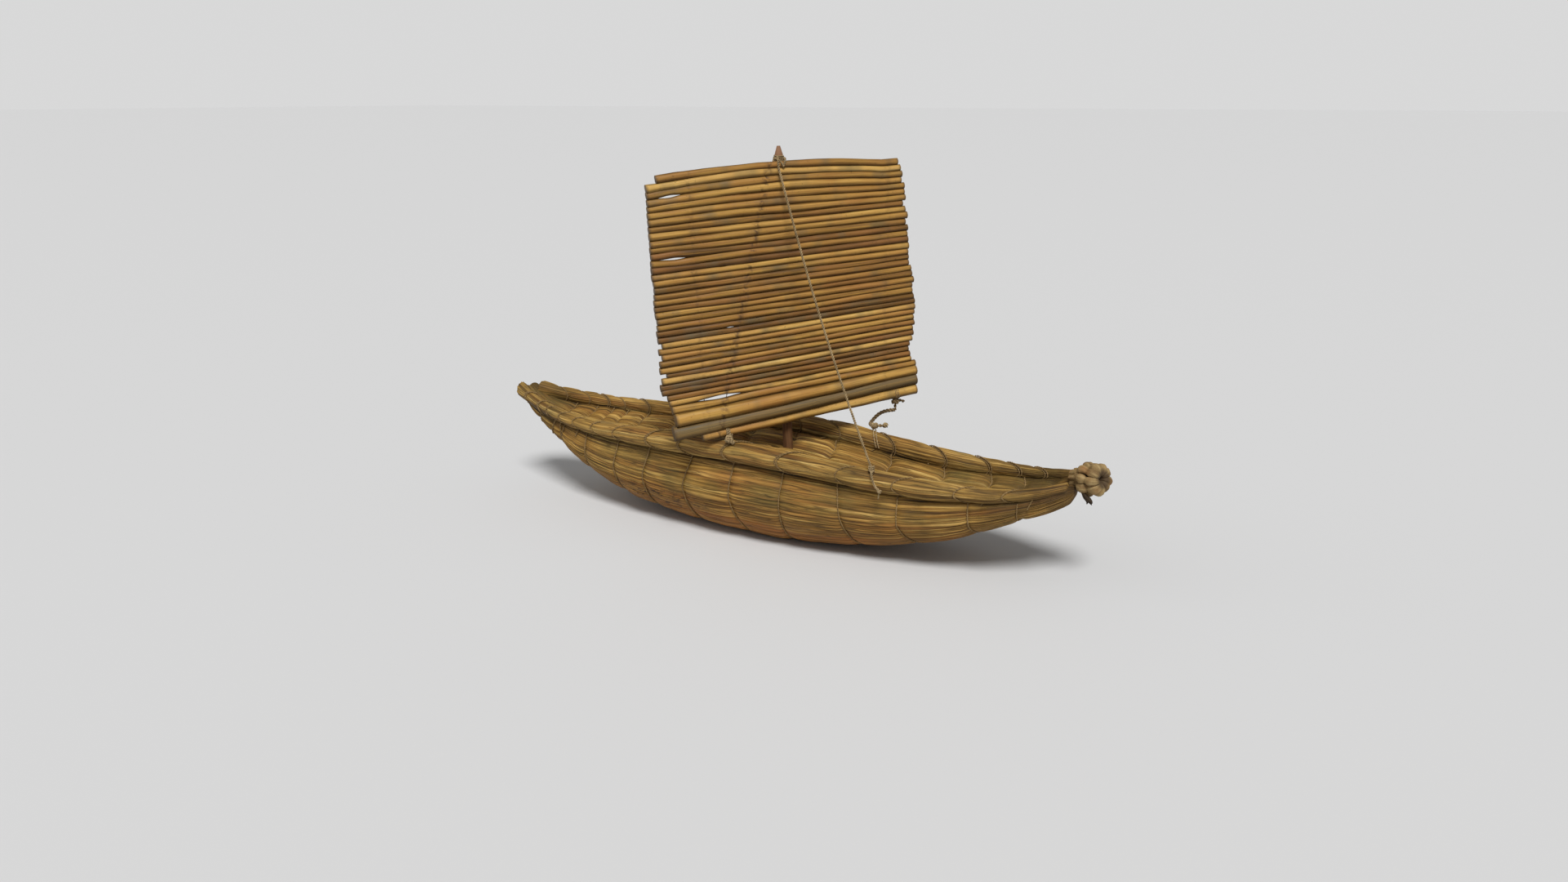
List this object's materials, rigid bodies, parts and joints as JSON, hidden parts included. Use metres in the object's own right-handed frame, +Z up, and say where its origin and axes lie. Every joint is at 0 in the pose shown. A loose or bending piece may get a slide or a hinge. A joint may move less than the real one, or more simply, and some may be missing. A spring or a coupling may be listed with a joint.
{
  "type": "model reed boat",
  "caption": "Tabletop model of a two-bundle reed boat with lashed edge rolls, a knobbed bow, a stick mast and a square sail of sewn reeds.",
  "frame": {"origin": "on the centre plane at mid-length, on the flattened underside where the boat rests", "axes": "+X towards the bow, +Y to port, +Z up; -Z is the resting face's normal"},
  "size_m": [0.5334, 0.1633, 0.3089],
  "materials": {
    "bundle_reed": "dry straw, matt",
    "roll_reed": "dry straw, matt",
    "knob_reed": "dry straw, matt",
    "sail_reed": "dry reed, satin",
    "mast_wood": "bare stick, matt",
    "twine": "coarse twine",
    "rope": "twisted grass rope"
  },
  "bodies": {
    "hull": {"main_bundle_starboard": "bundle_reed", "main_bundle_port": "bundle_reed", "gunwale_roll_starboard": "roll_reed", "gunwale_roll_port": "roll_reed", "bundle_lashings_starboard": "twine", "bundle_lashings_port": "twine", "roll_lashings_starboard": "twine", "roll_lashings_port": "twine", "bow_knob": "knob_reed", "stay": "twine", "sheet_knot": "rope", "sheet_rope": "rope"},
    "rig": {"mast": "mast_wood", "sail_reeds": "sail_reed", "foot_reeds": "sail_reed", "masthead_knot": "twine", "sheet_hitch": "rope"}
  },
  "joints": [
    {"name": "mast_turn", "type": "hinge", "parent": "hull", "child": "rig", "pos_m": [0.012, 0, 0.071], "axis": [-0.0353, 0, 0.9994], "range_deg": [-8, 20]}
  ]
}
